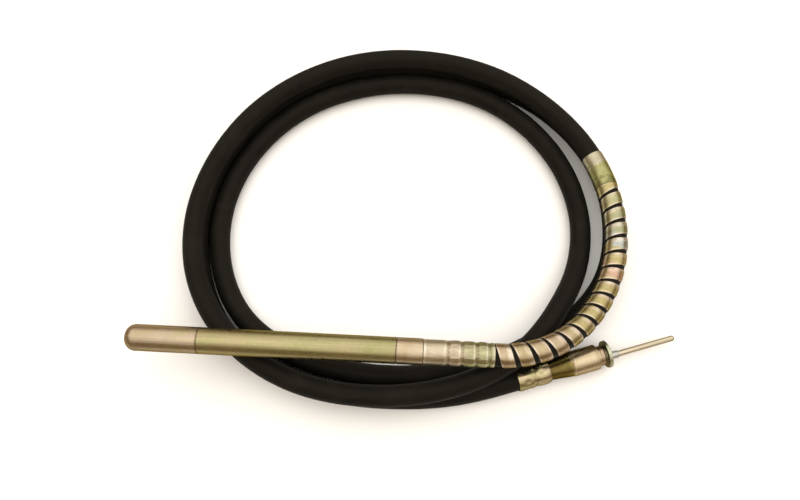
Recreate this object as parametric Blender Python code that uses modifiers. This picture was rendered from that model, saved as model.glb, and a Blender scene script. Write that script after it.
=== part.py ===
"""Concrete vibrator: a flexible-shaft poker, coiled as it lies on the floor.

Frame: metres, +Z up, floor at z = 0, origin under the middle of the metal pieces.
The head lies along +X, tip at -X. Each turned piece is drawn along its own +Z,
from the head's tip, or from the drive end's ferrule, and turned by its parent empty.
"""
import bmesh
import bpy
import math
import numpy as np
from mathutils import Vector

# ---------------------------------------------------------------- driving dimensions
HEAD_R = 0.0215          # vibrating head, 43 mm over
HOSE_R = 0.0180          # rubber hose, 36 mm over
HOSE_BORE_R = 0.0100
CORE_R = 0.0060          # flexible steel shaft inside the hose
TAIL_R = 0.0093          # both nipples' tails, inside the hose
FIT = 0.0003             # clearance left between touching pieces

HEAD_TIP = Vector((-0.4408, -0.1766, 0.0955))
HEAD_HEADING = math.radians(-2.95)
DRIVE_START = Vector((0.1944, -0.2334, 0.0230))
DRIVE_HEADING = math.radians(15.8)
ORIGIN = Vector((0.01523, -0.03950, 0.0))

# stations along the head, from the tip
CAP_END = 0.1183
TUBE_END = 0.4354
CONNECTOR_END = 0.4777
SLEEVE_END = 0.5916
TUBE_BORE_R = 0.0175
SPIGOT = 0.0180
HOSE_START = 0.4940
BEARING_WIDTH = 0.0110
FRONT_BEARING = CAP_END + SPIGOT + FIT
REAR_BEARING = TUBE_END - SPIGOT - BEARING_WIDTH - FIT
SHAFT_R = 0.0072

# stations along the drive end, from the ferrule's mouth
HOSE_STOP = 0.0500
FERRULE_END = 0.0570
NIPPLE_END = 0.0680
CONE_END = 0.0977
BODY_END = 0.1430
GROOVE_END = 0.1580
FLANGE_END = 0.1640
STUB_END = 0.1820
CORE_END = 0.1055
ROD_END = 0.2855
FLANGE_R = 0.0230
ROD_R = 0.0049
SPINDLE_R = 0.0065
SPINDLE_DROP = 0.0040    # the loose spindle rests low and to one side in the body
SPINDLE_SIDE = -0.0045

# spiral guard
GUARD_IN = HOSE_R + 0.0009
GUARD_THICK = 0.0010
GUARD_PITCH = 0.0285
GUARD_BAND = 0.0230
GUARD_START = 0.0986     # along the hose from its start
GUARD_STOP = 0.5430
GUARD_PHASE = 0.1203     # where the strip's middle crosses the bend's outer side
END_SLEEVE_IN = HOSE_R + 0.0007
END_SLEEVE_WALL = 0.0012
END_SLEEVE_STOP = 0.6075
SEGMENTS = 24

# lengths along the hose that set how closely its points lie
CRIMPED_RUN = 0.0990     # straight, in the head's crimp sleeve
TIGHT_RUN = 0.3600       # the tightest bend, in the guard, has the closest points
GUARDED_RUN = 0.6200     # the rest of the guard and its sleeve
FERRULE_RUN = 0.0520     # straight, in the drive end's ferrule
POINTS_PER_TURN = 20     # at even angles, so that neighbouring turns bend side by side
COIL_MIDDLE = Vector((0.0100, 0.0600, 0.0)) - ORIGIN

# The hose's centre line, from the head round three turns of the coil to the ferrule.
# Turn one lies on top, turn two inside it on the floor, turn three under turn one.
ROUTE = [
    (0.1629, -0.2077, 0.0956), (0.2406, -0.1924, 0.0924), (0.3060, -0.1456, 0.0771),
    (0.3390, -0.1031, 0.0677), (0.3715, -0.0212, 0.0620), (0.3740, 0.0750, 0.0595),
    (0.3470, 0.1670, 0.0580), (0.2780, 0.2650, 0.0556), (0.1830, 0.3340, 0.0556),
    (0.0700, 0.3700, 0.0556), (-0.0500, 0.3720, 0.0556), (-0.1650, 0.3360, 0.0556),
    (-0.2620, 0.2650, 0.0556), (-0.3300, 0.1640, 0.0556), (-0.3610, 0.0450, 0.0556),
    (-0.3440, -0.0740, 0.0556), (-0.2800, -0.1720, 0.0556), (-0.1800, -0.2380, 0.0556),
    (-0.0600, -0.2640, 0.0556), (0.0600, -0.2560, 0.0556), (0.1550, -0.2230, 0.0560),
    (0.2250, -0.1720, 0.0570), (0.2730, -0.1090, 0.0510), (0.3070, -0.0460, 0.0310),
    (0.3260, 0.0400, 0.0190), (0.3110, 0.1380, 0.0184), (0.2560, 0.2350, 0.0184),
    (0.1620, 0.3100, 0.0184), (0.0400, 0.3430, 0.0184), (-0.0820, 0.3330, 0.0184),
    (-0.1890, 0.2860, 0.0184), (-0.2730, 0.2010, 0.0184), (-0.3190, 0.0930, 0.0184),
    (-0.3200, -0.0150, 0.0184), (-0.2708, -0.1241, 0.0184), (-0.1768, -0.1914, 0.0184),
    (-0.0600, -0.2223, 0.0184), (0.0520, -0.2240, 0.0184), (0.1500, -0.2045, 0.0184),
    (0.2400, -0.1640, 0.0184), (0.3150, -0.1140, 0.0184), (0.3640, -0.0480, 0.0184),
    (0.3850, 0.0400, 0.0184), (0.3750, 0.1400, 0.0184), (0.3240, 0.2380, 0.0184),
    (0.2340, 0.3180, 0.0184), (0.1220, 0.3665, 0.0184), (0.0377, 0.3802, 0.0184),
    (-0.0726, 0.3731, 0.0184), (-0.1778, 0.3364, 0.0184), (-0.2675, 0.2681, 0.0184),
    (-0.3308, 0.1751, 0.0184), (-0.3611, 0.0659, 0.0184), (-0.3513, -0.0484, 0.0184),
    (-0.2975, -0.1535, 0.0184), (-0.2036, -0.2204, 0.0184), (-0.0979, -0.2543, 0.0184),
    (0.0114, -0.2631, 0.0184), (0.0980, -0.2565, 0.0200),
]

# ---------------------------------------------------------------- scene and materials
for old in list(bpy.data.objects):
    bpy.data.objects.remove(old, do_unlink=True)

PARTS = bpy.data.collections.new("concrete_vibrator")
CUTTERS = bpy.data.collections.new("cutters")
bpy.context.scene.collection.children.link(PARTS)
bpy.context.scene.collection.children.link(CUTTERS)


def material(name, colour, roughness, metallic):
    mat = bpy.data.materials.new(name)
    mat.use_nodes = True
    shader = mat.node_tree.nodes["Principled BSDF"]
    shader.inputs["Base Color"].default_value = (*colour, 1.0)
    shader.inputs["Roughness"].default_value = roughness
    shader.inputs["Metallic"].default_value = metallic
    return mat


def add_object(name, data, mat, parent=None, collection=PARTS):
    obj = bpy.data.objects.new(name, data)
    collection.objects.link(obj)
    if mat is not None:
        data.materials.append(material(name, *mat))
    obj.parent = parent
    return obj


def axis_empty(name, start, heading):
    """An empty whose +Z runs level along the heading, from start."""
    empty = bpy.data.objects.new(name, None)
    PARTS.objects.link(empty)
    empty.location = start
    empty.rotation_euler = (0.0, math.radians(90.0), heading)
    return empty


YELLOW_ZINC = ((0.62, 0.50, 0.29), 0.32, 1.0)
TUBE_ZINC = ((0.60, 0.53, 0.30), 0.30, 1.0)
GUARD_STEEL = ((0.72, 0.62, 0.42), 0.28, 1.0)
BRIGHT_STEEL = ((0.58, 0.58, 0.57), 0.25, 1.0)
DARK_STEEL = ((0.20, 0.20, 0.20), 0.45, 1.0)
BLACK_RUBBER = ((0.018, 0.017, 0.016), 0.62, 0.0)
SEAL_RUBBER = ((0.05, 0.03, 0.02), 0.55, 0.0)


# ---------------------------------------------------------------- modelling helpers
def turned(name, profile, mat, parent, closed=True, segments=SEGMENTS):
    """Turn a profile of (radius, station) about +Z. It runs down its outer side."""
    mesh = bpy.data.meshes.new(name)
    points = [(radius, 0.0, station) for radius, station in profile]
    edges = [(i, i + 1) for i in range(len(points) - 1)]
    if closed:
        edges.append((len(points) - 1, 0))
    mesh.from_pydata(points, edges, [])
    obj = add_object(name, mesh, mat, parent)
    screw = obj.modifiers.new("turn", "SCREW")
    screw.axis = "Z"
    screw.angle = math.tau
    screw.steps = segments
    screw.render_steps = segments
    screw.use_merge_vertices = True
    screw.merge_threshold = 0.00001
    screw.use_smooth_shade = True
    return obj


def ring(name, outer, inner, low, high, mat, parent, segments=SEGMENTS):
    profile = [(outer, high), (outer, low), (inner, low), (inner, high)]
    return turned(name, profile, mat, parent, True, segments)


def boolean(obj, other, operation):
    other.hide_render = True
    other.display_type = "WIRE"
    cut = obj.modifiers.new(operation.lower(), "BOOLEAN")
    cut.operation = operation
    cut.solver = "EXACT"
    cut.object = other


def tube_along(name, points, radius, wall, resolution, mat):
    """A tube on a poly curve: solid with filled caps, or hollow with a wall."""
    curve = bpy.data.curves.new(name, "CURVE")
    curve.dimensions = "3D"
    curve.bevel_depth = radius
    curve.bevel_resolution = resolution
    curve.use_fill_caps = wall is None
    spline = curve.splines.new("POLY")
    spline.points.add(len(points) - 1)
    for slot, point in zip(spline.points, points):
        slot.co = (*point, 1.0)
    obj = add_object(name, curve, mat)
    if wall is not None:
        shell = obj.modifiers.new("wall", "SOLIDIFY")
        shell.thickness = wall
        shell.offset = -1.0
    return obj


# ---------------------------------------------------------------- the hose's centre line
def smooth_curve(route, step):
    """Points a small step apart on the natural cubic spline through the route."""
    knots = np.array(route, dtype=float)
    chord = np.linalg.norm(np.diff(knots, axis=0), axis=1)
    t = np.concatenate(([0.0], np.cumsum(chord)))
    count = len(knots)
    matrix = np.eye(count)
    right = np.zeros((count, 3))
    for i in range(1, count - 1):
        before = t[i] - t[i - 1]
        after = t[i + 1] - t[i]
        matrix[i, i - 1] = before / 6.0
        matrix[i, i] = (before + after) / 3.0
        matrix[i, i + 1] = after / 6.0
        right[i] = (knots[i + 1] - knots[i]) / after - (knots[i] - knots[i - 1]) / before
    bend = np.linalg.solve(matrix, right)
    samples = np.arange(0.0, t[-1], step)
    place = np.clip(np.searchsorted(t, samples, side="right") - 1, 0, count - 2)
    width = (t[place + 1] - t[place])[:, None]
    b = (samples[:, None] - t[place][:, None]) / width
    a = 1.0 - b
    curve = a * knots[place] + b * knots[place + 1]
    curve += ((a ** 3 - a) * bend[place] + (b ** 3 - b) * bend[place + 1]) * width ** 2 / 6.0
    return np.vstack((curve, knots[-1]))


def at_lengths(curve, lengths):
    """Points of a polyline at the given lengths along it."""
    run = np.concatenate(([0.0], np.cumsum(np.linalg.norm(np.diff(curve, axis=0), axis=1))))
    return np.stack([np.interp(lengths, run, curve[:, k]) for k in range(3)], axis=1)


def curve_length(curve):
    return float(np.linalg.norm(np.diff(curve, axis=0), axis=1).sum())


def along(start, heading, station):
    return start + Vector((math.cos(heading), math.sin(heading), 0.0)) * station


def hose_route():
    """The whole route, with the straight runs inside the two end fittings."""
    head = [along(HEAD_TIP, HEAD_HEADING, s) for s in (HOSE_START, 0.5270, 0.5600, 0.5840)]
    drive = [along(DRIVE_START, DRIVE_HEADING, s) for s in (-0.0150, 0.0150, HOSE_STOP)]
    points = [tuple(p) for p in head] + ROUTE + [tuple(p) for p in drive]
    return [tuple(Vector(p) - ORIGIN) for p in points]


HOSE_CURVE = smooth_curve(hose_route(), 0.004)
HOSE_LENGTH = curve_length(HOSE_CURVE)
LAST_FREE = HOSE_LENGTH - 1.5 * FERRULE_RUN


def coil_lengths(low, high):
    """Lengths along the hose at even angles about the coil's middle."""
    run = np.concatenate(([0.0], np.cumsum(np.linalg.norm(np.diff(HOSE_CURVE, axis=0), axis=1))))
    free = run > low
    x = HOSE_CURVE[free, 0] - COIL_MIDDLE.x
    y = HOSE_CURVE[free, 1] - COIL_MIDDLE.y
    angle = np.unwrap(np.arctan2(y, x))
    step = math.tau / POINTS_PER_TURN
    last = np.interp(high, run[free], angle)
    return np.interp(np.arange(angle[0] + step, last - 0.4 * step, step), angle, run[free])


HOSE_LENGTHS = np.concatenate((
    (0.0,),
    np.linspace(CRIMPED_RUN, TIGHT_RUN, 14),
    np.linspace(TIGHT_RUN, GUARDED_RUN, 9)[1:],
    coil_lengths(GUARDED_RUN, LAST_FREE),
    (LAST_FREE, HOSE_LENGTH - FERRULE_RUN, HOSE_LENGTH),
))
HOSE_POINTS = at_lengths(HOSE_CURVE, HOSE_LENGTHS)

# ---------------------------------------------------------------- the vibrating head
head = axis_empty("head_axis", HEAD_TIP - ORIGIN, HEAD_HEADING)


def tip_cap():
    """Blunt nose with a rounded shoulder, and the spigot that enters the tube."""
    nose_depth = 0.0175
    steps = 7
    nose = []
    for i in range(steps + 1):
        angle = math.radians(90.0) * i / steps
        radius = HEAD_R * math.cos(angle) ** 0.80
        nose.append((max(radius, 0.0), nose_depth * (1.0 - math.sin(angle))))
    nose[-1] = (0.0, 0.0)
    spigot_r = TUBE_BORE_R - FIT
    profile = [
        (0.0, CAP_END + SPIGOT), (spigot_r - 0.001, CAP_END + SPIGOT),
        (spigot_r, CAP_END + SPIGOT - 0.001), (spigot_r, CAP_END + 0.0035),
        (spigot_r - 0.0018, CAP_END + 0.0033), (spigot_r - 0.0018, CAP_END + 0.0004),
        (HEAD_R - 0.0006, CAP_END), (HEAD_R, CAP_END - 0.0008),
    ]
    return turned("head_tip_cap", profile + nose, YELLOW_ZINC, head, closed=False)


def head_tube():
    low = CAP_END + FIT
    high = TUBE_END - FIT
    profile = [
        (HEAD_R, high - 0.0006), (HEAD_R, low + 0.0006), (HEAD_R - 0.0006, low),
        (TUBE_BORE_R, low), (TUBE_BORE_R, high), (HEAD_R - 0.0006, high),
    ]
    return turned("head_tube", profile, TUBE_ZINC, head)


def head_connector():
    """Threaded plug between the tube and the hose, with the shaft's passage."""
    spigot_r = TUBE_BORE_R - FIT
    bore = 0.0112
    profile = [
        (HEAD_R - 0.0008, CONNECTOR_END), (HEAD_R, CONNECTOR_END - 0.0012),
        (HEAD_R, TUBE_END + 0.0008), (HEAD_R - 0.0006, TUBE_END),
        (spigot_r - 0.0018, TUBE_END - 0.0004), (spigot_r - 0.0018, TUBE_END - 0.0033),
        (spigot_r, TUBE_END - 0.0035), (spigot_r, TUBE_END - SPIGOT),
        (bore, TUBE_END - SPIGOT), (bore, CONNECTOR_END),
    ]
    return turned("head_connector", profile, YELLOW_ZINC, head)


def hose_nipple():
    """Flanged tail with two barbs, which the hose is pushed over."""
    low = CONNECTOR_END + FIT
    profile = [
        (TAIL_R - 0.0012, 0.5540), (TAIL_R, 0.5500), (TAIL_R, 0.5380),
        (TAIL_R - 0.0008, 0.5378), (TAIL_R, 0.5280), (TAIL_R, HOSE_START - FIT),
        (0.0172, HOSE_START - FIT), (0.0172, low), (0.0072, low), (0.0072, 0.5540),
    ]
    return turned("head_hose_nipple", profile, BRIGHT_STEEL, head)


def crimp_sleeve():
    """Sleeve pressed over the hose's end in four bands."""
    mouth_r = 0.0205
    bore = HOSE_R + FIT
    profile = [(0.0193, SLEEVE_END), (0.0196, SLEEVE_END - 0.004)]
    for i, groove in enumerate((0.5829, 0.5631, 0.5396, 0.5172)):
        bump_r = 0.0198 + 0.0002 * i
        profile += [
            (bump_r - 0.0002, groove + 0.0040), (bump_r - 0.0010, groove + 0.0012),
            (bump_r - 0.0010, groove - 0.0012), (bump_r, groove - 0.0045),
        ]
    profile += [
        (mouth_r, 0.5090), (mouth_r, CONNECTOR_END + 0.0012),
        (mouth_r - 0.0006, CONNECTOR_END + FIT), (bore, CONNECTOR_END + FIT),
        (bore, SLEEVE_END),
    ]
    return turned("head_crimp_sleeve", profile, YELLOW_ZINC, head)


def bearing(prefix, low):
    """Deep-groove ball bearing: two races and a cage that carries eight balls."""
    high = low + BEARING_WIDTH
    middle = (low + high) / 2.0
    track = 0.0125
    ball_r = 0.00270
    ring(prefix + "_bearing_outer_race", TUBE_BORE_R - FIT, 0.0155, low, high, BRIGHT_STEEL, head)
    ring(prefix + "_bearing_inner_race", 0.0095, SHAFT_R + FIT, low, high, BRIGHT_STEEL, head)
    cage = ring(
        prefix + "_bearing_ball_cage", track + 0.0007, track - 0.0007,
        middle - 0.0013, middle + 0.0013, DARK_STEEL, head,
    )
    balls = bpy.data.meshes.new(prefix + "_balls")
    build = bmesh.new()
    for i in range(8):
        angle = math.tau * (i + 0.31) / 8
        ball = bmesh.ops.create_uvsphere(build, u_segments=8, v_segments=6, radius=ball_r)
        spot = Vector((track * math.cos(angle), track * math.sin(angle), middle))
        bmesh.ops.translate(build, verts=ball["verts"], vec=spot)
    build.to_mesh(balls)
    build.free()
    boolean(cage, add_object(prefix + "_ball_set", balls, None, head, CUTTERS), "UNION")


def eccentric_rotor():
    """Steel rotor, milled flat past its middle so that it runs out of balance."""
    weight_r = 0.0155
    low = FRONT_BEARING + BEARING_WIDTH + 0.0040
    high = REAR_BEARING - 0.0040
    tail = TUBE_END - 0.0040
    profile = [
        (0.0, tail), (0.0055, tail), (0.0058, tail - 0.0004),
        (0.0058, REAR_BEARING + BEARING_WIDTH + 0.0010),
        (SHAFT_R, REAR_BEARING + BEARING_WIDTH + 0.0010), (SHAFT_R, high + 0.0020),
        (0.0092, high + 0.0020), (0.0092, high), (weight_r, high), (weight_r, low),
        (0.0092, low), (0.0092, low - 0.0020), (SHAFT_R, low - 0.0020),
        (SHAFT_R, FRONT_BEARING + 0.0005), (0.0, FRONT_BEARING + 0.0005),
    ]
    rotor = turned("eccentric_rotor", profile, DARK_STEEL, head, closed=False)
    block = bpy.data.meshes.new("rotor_flat")
    build = bmesh.new()
    bmesh.ops.create_cube(build, size=1.0)
    size = Vector((0.0200, 0.0400, high - low - 0.0160))
    bmesh.ops.scale(build, verts=build.verts, vec=size)
    centre = Vector((-0.0100 - 0.0016, 0.0, (high + low) / 2.0))
    bmesh.ops.translate(build, verts=build.verts, vec=centre)
    build.to_mesh(block)
    build.free()
    boolean(rotor, add_object("rotor_flat", block, None, head, CUTTERS), "DIFFERENCE")


def rotor_drive():
    """Socket on the rotor's tail, and the shaft's end piece that drives it."""
    socket_low = REAR_BEARING + BEARING_WIDTH + 0.0016
    socket_high = TUBE_END + 0.0220
    step = TUBE_END - 0.0030
    profile = [
        (0.0092, socket_high), (0.0092, socket_low), (0.0061, socket_low),
        (0.0061, step), (0.0045, step), (0.0045, socket_high),
    ]
    turned("rotor_socket", profile, BRIGHT_STEEL, head)
    end_high = 0.5090
    profile = [
        (0.0, end_high), (0.0060, end_high), (0.0062, end_high - 0.0010),
        (0.0062, socket_high + 0.0030), (0.0042, socket_high + 0.0010),
        (0.0042, step + 0.0020), (0.0, step + 0.0020),
    ]
    turned("shaft_head_end", profile, BRIGHT_STEEL, head, closed=False)


def head_seals():
    ring("rear_oil_seal", 0.0110, 0.0096, TUBE_END + 0.0040, TUBE_END + 0.0110, SEAL_RUBBER, head)
    groove_out = TUBE_BORE_R - FIT
    groove_in = TUBE_BORE_R - FIT - 0.0015
    ring("cap_o_ring", groove_out, groove_in, CAP_END + 0.0008, CAP_END + 0.0030,
         SEAL_RUBBER, head)
    ring("connector_o_ring", groove_out, groove_in, TUBE_END - 0.0030, TUBE_END - 0.0008,
         SEAL_RUBBER, head)
    spacer_low = FRONT_BEARING + BEARING_WIDTH + FIT
    ring("front_retaining_ring", TUBE_BORE_R - FIT, 0.0162, spacer_low, spacer_low + 0.0018,
         DARK_STEEL, head)
    spacer_high = REAR_BEARING - FIT
    ring("rear_retaining_ring", TUBE_BORE_R - FIT, 0.0162, spacer_high - 0.0018, spacer_high,
         DARK_STEEL, head)


tip_cap()
head_tube()
head_connector()
hose_nipple()
crimp_sleeve()
bearing("front", FRONT_BEARING)
bearing("rear", REAR_BEARING)
eccentric_rotor()
rotor_drive()
head_seals()


# ---------------------------------------------------------------- hose, shaft and guard
def core_tail():
    """The shaft's last run, easing off the hose's axis on to the loose spindle's."""
    left = Vector((-math.sin(DRIVE_HEADING), math.cos(DRIVE_HEADING), 0.0))
    sag = left * SPINDLE_SIDE - Vector((0.0, 0.0, SPINDLE_DROP))
    low = 0.0360
    points = []
    for station in (low, 0.0480, 0.0590, 0.0700, 0.0810, CORE_END - 0.0160, CORE_END):
        share = min((station - low) / (CORE_END - 0.0160 - low), 1.0)
        share = share * share * (3.0 - 2.0 * share)
        points.append(along(DRIVE_START - ORIGIN, DRIVE_HEADING, station) + sag * share)
    return points


def hose_and_core():
    wall = HOSE_R - HOSE_BORE_R
    tube_along("rubber_hose", HOSE_POINTS, HOSE_R, wall, 4, BLACK_RUBBER)
    lengths = HOSE_LENGTHS[:-1].copy()
    lengths[0] = 0.0150 + FIT
    core = [Vector(point) for point in at_lengths(HOSE_CURVE, lengths)]
    tube_along("flexible_shaft", core + core_tail(), CORE_R, None, 2, BRIGHT_STEEL)


def frames(lengths):
    """Centre, and two cross directions carried smoothly along the hose's polyline."""
    centres = np.stack([np.interp(lengths, HOSE_LENGTHS, HOSE_POINTS[:, k]) for k in range(3)], 1)
    knot_dir = np.gradient(HOSE_POINTS, HOSE_LENGTHS, axis=0)
    dirs = np.stack([np.interp(lengths, HOSE_LENGTHS, knot_dir[:, k]) for k in range(3)], 1)
    dirs /= np.linalg.norm(dirs, axis=1)[:, None]
    side = np.cross(dirs, (0.0, 0.0, 1.0))
    side /= np.linalg.norm(side, axis=1)[:, None]
    return centres, dirs, side, np.cross(side, dirs)


def spiral_guard():
    """One flat steel strip wound round the hose, with both of its ends ground flush."""
    per_turn = 20
    half = GUARD_BAND / 2.0
    least = 0.0020
    first = GUARD_START - half + least
    last = GUARD_STOP + half - least
    count = int((last - first) / GUARD_PITCH * per_turn) + 1
    middle = first + GUARD_PITCH * np.arange(count) / per_turn
    angle = -math.tau * (middle - GUARD_PHASE) / GUARD_PITCH
    corners = []
    outer = GUARD_IN + GUARD_THICK
    for shift, radius in ((-half, GUARD_IN), (half, GUARD_IN), (half, outer), (-half, outer)):
        edge = np.clip(middle + shift, GUARD_START, GUARD_STOP)
        centre, _, side, lift = frames(edge)
        around = side * np.cos(angle)[:, None] + lift * np.sin(angle)[:, None]
        corners.append(centre + around * radius)
    build = bmesh.new()
    rows = [[build.verts.new(corner[i]) for corner in corners] for i in range(count)]
    for a, b in zip(rows, rows[1:]):
        for k in range(4):
            n = (k + 1) % 4
            build.faces.new((a[k], b[k], b[n], a[n]))
    build.faces.new(rows[0])
    build.faces.new(reversed(rows[-1]))
    bmesh.ops.recalc_face_normals(build, faces=build.faces)
    mesh = bpy.data.meshes.new("spiral_guard")
    build.to_mesh(mesh)
    build.free()
    mesh.shade_smooth()
    mesh.set_sharp_from_angle(angle=math.radians(40.0))
    add_object("spiral_guard", mesh, GUARD_STEEL)


def guard_end_sleeve():
    """Short sleeve pressed on the hose where the guard stops."""
    low = GUARD_STOP + 0.0005
    high = END_SLEEVE_STOP
    bends = [length for length in HOSE_LENGTHS if low < length < high]
    centres, _, _, _ = frames(np.array([low] + bends + [high]))
    outer = END_SLEEVE_IN + END_SLEEVE_WALL
    tube_along("guard_end_sleeve", centres, outer, END_SLEEVE_WALL, 4, YELLOW_ZINC)


hose_and_core()
spiral_guard()
guard_end_sleeve()

# ---------------------------------------------------------------- the drive end
drive = axis_empty("drive_axis", DRIVE_START - ORIGIN, DRIVE_HEADING)


def drive_ferrule():
    """Ferrule pressed over the hose's other end in two bands."""
    bore = HOSE_R + FIT
    profile = [
        (0.0186, FERRULE_END - FIT), (0.0200, FERRULE_END - 0.0060),
        (0.0204, 0.0440), (0.0200, 0.0370), (0.0189, 0.0325), (0.0189, 0.0295),
        (0.0203, 0.0250), (0.0205, 0.0160), (0.0203, 0.0060), (0.0196, 0.0),
        (bore, 0.0), (bore, HOSE_STOP + FIT), (0.0160, HOSE_STOP + FIT),
        (0.0160, FERRULE_END - FIT),
    ]
    return turned("drive_ferrule", profile, YELLOW_ZINC, drive)


def drive_nipple():
    """Tail inside the hose, screwed into the drive body."""
    profile = [
        (0.0128, NIPPLE_END), (0.0128, FERRULE_END), (0.0157, FERRULE_END),
        (0.0157, HOSE_STOP + FIT), (TAIL_R, HOSE_STOP + FIT), (TAIL_R, 0.0160),
        (TAIL_R - 0.0008, 0.0158), (TAIL_R, 0.0060), (TAIL_R - 0.0012, 0.0020),
        (0.0078, 0.0020), (0.0078, HOSE_STOP), (0.0112, HOSE_STOP + 0.0080),
        (0.0112, NIPPLE_END),
    ]
    return turned("drive_nipple", profile, BRIGHT_STEEL, drive)


def drive_body():
    """Cone and cylinder, with the flange's neck."""
    profile = [
        (0.0165, BODY_END + 0.0040), (0.0165, BODY_END),
        (0.0206, BODY_END), (0.0214, BODY_END - 0.0012), (0.0214, CONE_END + 0.0010),
        (0.0208, CONE_END), (0.0164, FERRULE_END + 0.0040), (0.0160, FERRULE_END + FIT),
        (0.0131, FERRULE_END + FIT), (0.0131, NIPPLE_END + FIT),
        (0.0136, NIPPLE_END + FIT), (0.0136, BODY_END + 0.0040),
    ]
    return turned("drive_body", profile, YELLOW_ZINC, drive)


def drive_flange():
    """Locating disc that enters the motor's socket, with its collar and groove."""
    low = BODY_END + 0.0040 + FIT
    profile = [
        (FLANGE_R - 0.0012, FLANGE_END), (FLANGE_R, FLANGE_END - 0.0012),
        (FLANGE_R, GROOVE_END + 0.0012), (FLANGE_R - 0.0008, GROOVE_END),
        (0.0148, GROOVE_END), (0.0148, low + 0.0070), (0.0166, low + 0.0064),
        (0.0166, low), (0.0128, low), (0.0128, FLANGE_END),
    ]
    return turned("drive_flange", profile, YELLOW_ZINC, drive)


def drive_spindle():
    """Loose end of the flexible shaft: crimp, spindle and the rod the motor grips."""
    axle = bpy.data.objects.new("spindle_axis", None)
    PARTS.objects.link(axle)
    axle.parent = drive
    axle.location = (SPINDLE_DROP, SPINDLE_SIDE, 0.0)
    profile = [
        (0.0, STUB_END), (SPINDLE_R - 0.0008, STUB_END), (SPINDLE_R, STUB_END - 0.0008),
        (SPINDLE_R, CORE_END + FIT), (0.0, CORE_END + FIT),
    ]
    turned("drive_spindle", profile, BRIGHT_STEEL, axle, closed=False)
    profile = [
        (0.0, ROD_END), (0.0034, ROD_END), (0.0046, ROD_END - 0.0010),
        (ROD_R, ROD_END - 0.0025), (ROD_R, STUB_END + FIT), (0.0, STUB_END + FIT),
    ]
    turned("drive_rod", profile, YELLOW_ZINC, axle, closed=False, segments=16)
    ring("shaft_drive_crimp", 0.0073, SPINDLE_R + FIT, CORE_END - 0.0150, CORE_END + 0.0100,
         DARK_STEEL, axle)


drive_ferrule()
drive_nipple()
drive_body()
drive_flange()
drive_spindle()
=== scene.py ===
"""Looks for the concrete vibrator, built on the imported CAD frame."""
import math

import bmesh
import bpy
import numpy as np
from mathutils import Matrix, Vector


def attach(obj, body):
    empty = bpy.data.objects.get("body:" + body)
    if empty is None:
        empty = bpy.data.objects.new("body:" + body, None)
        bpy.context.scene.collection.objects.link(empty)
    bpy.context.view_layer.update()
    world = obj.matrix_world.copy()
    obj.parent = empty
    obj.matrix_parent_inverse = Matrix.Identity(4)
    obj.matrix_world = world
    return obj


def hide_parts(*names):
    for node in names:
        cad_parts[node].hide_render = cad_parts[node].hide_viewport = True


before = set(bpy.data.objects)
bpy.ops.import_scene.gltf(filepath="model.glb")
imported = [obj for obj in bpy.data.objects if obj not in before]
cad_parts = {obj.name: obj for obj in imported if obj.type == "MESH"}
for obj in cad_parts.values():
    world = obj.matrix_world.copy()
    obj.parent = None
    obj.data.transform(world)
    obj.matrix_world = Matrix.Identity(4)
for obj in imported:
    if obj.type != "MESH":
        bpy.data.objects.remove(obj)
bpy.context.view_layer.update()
TAU = math.tau

# ---------------------------------------------------------------- the part's own dimensions
# Metres. The head's stations start at its tip, and the drive end's at the ferrule's mouth.
ORIGIN = Vector((0.01523, -0.03950, 0.0))
HEAD_TIP = Vector((-0.4408, -0.1766, 0.0955)) - ORIGIN
HEAD_HEADING = math.radians(-2.95)
DRIVE_START = Vector((0.1944, -0.2334, 0.0230)) - ORIGIN
DRIVE_HEADING = math.radians(15.8)
SPINDLE_DROP = 0.0040
SPINDLE_SIDE = -0.0045
HEAD_R = 0.0215
HOSE_R = 0.0180
HOSE_BORE_R = 0.0100
FIT = 0.0003
CAP_END = 0.1183
TUBE_END = 0.4354
CONNECTOR_END = 0.4777
SLEEVE_END = 0.5916
HOSE_START = 0.4940
TUBE_BORE_R = 0.0175
SPIGOT = 0.0180
SPIGOT_R = TUBE_BORE_R - FIT
SEAM_FACE_R = HEAD_R - 0.0030
O_RING_NEAR = 0.0004
O_RING_FAR = 0.0033
O_RING_R = SPIGOT_R - 0.0018
CRIMP_GROOVES = (0.5172, 0.5396, 0.5631, 0.5829)
SLEEVE_BORE_R = HOSE_R + FIT
FERRULE_END = 0.0570
HOSE_STOP = 0.0500
NIPPLE_END = 0.0680
CONE_END = 0.0977
CORE_END = 0.1055
BODY_END = 0.1430
BODY_R = 0.0214
COLLAR_END = BODY_END + 0.0040
GROOVE_END = 0.1580
FLANGE_END = 0.1640
FLANGE_R = 0.0230
STUB_END = 0.1820
ROD_END = 0.2855
ROD_R = 0.0049
AXIS_R = 0.0003
SPINDLE_R = 0.0065

# The guard and its end sleeve are placed by length along the hose's line.
GUARD_IN = HOSE_R + 0.0009
GUARD_THICK = 0.0010
GUARD_PITCH = 0.0285
GUARD_START = 0.0986
GUARD_STOP = 0.5430
GUARD_PHASE = 0.1203
END_SLEEVE_IN = HOSE_R + 0.0007
END_SLEEVE_STOP = 0.6075

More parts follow.
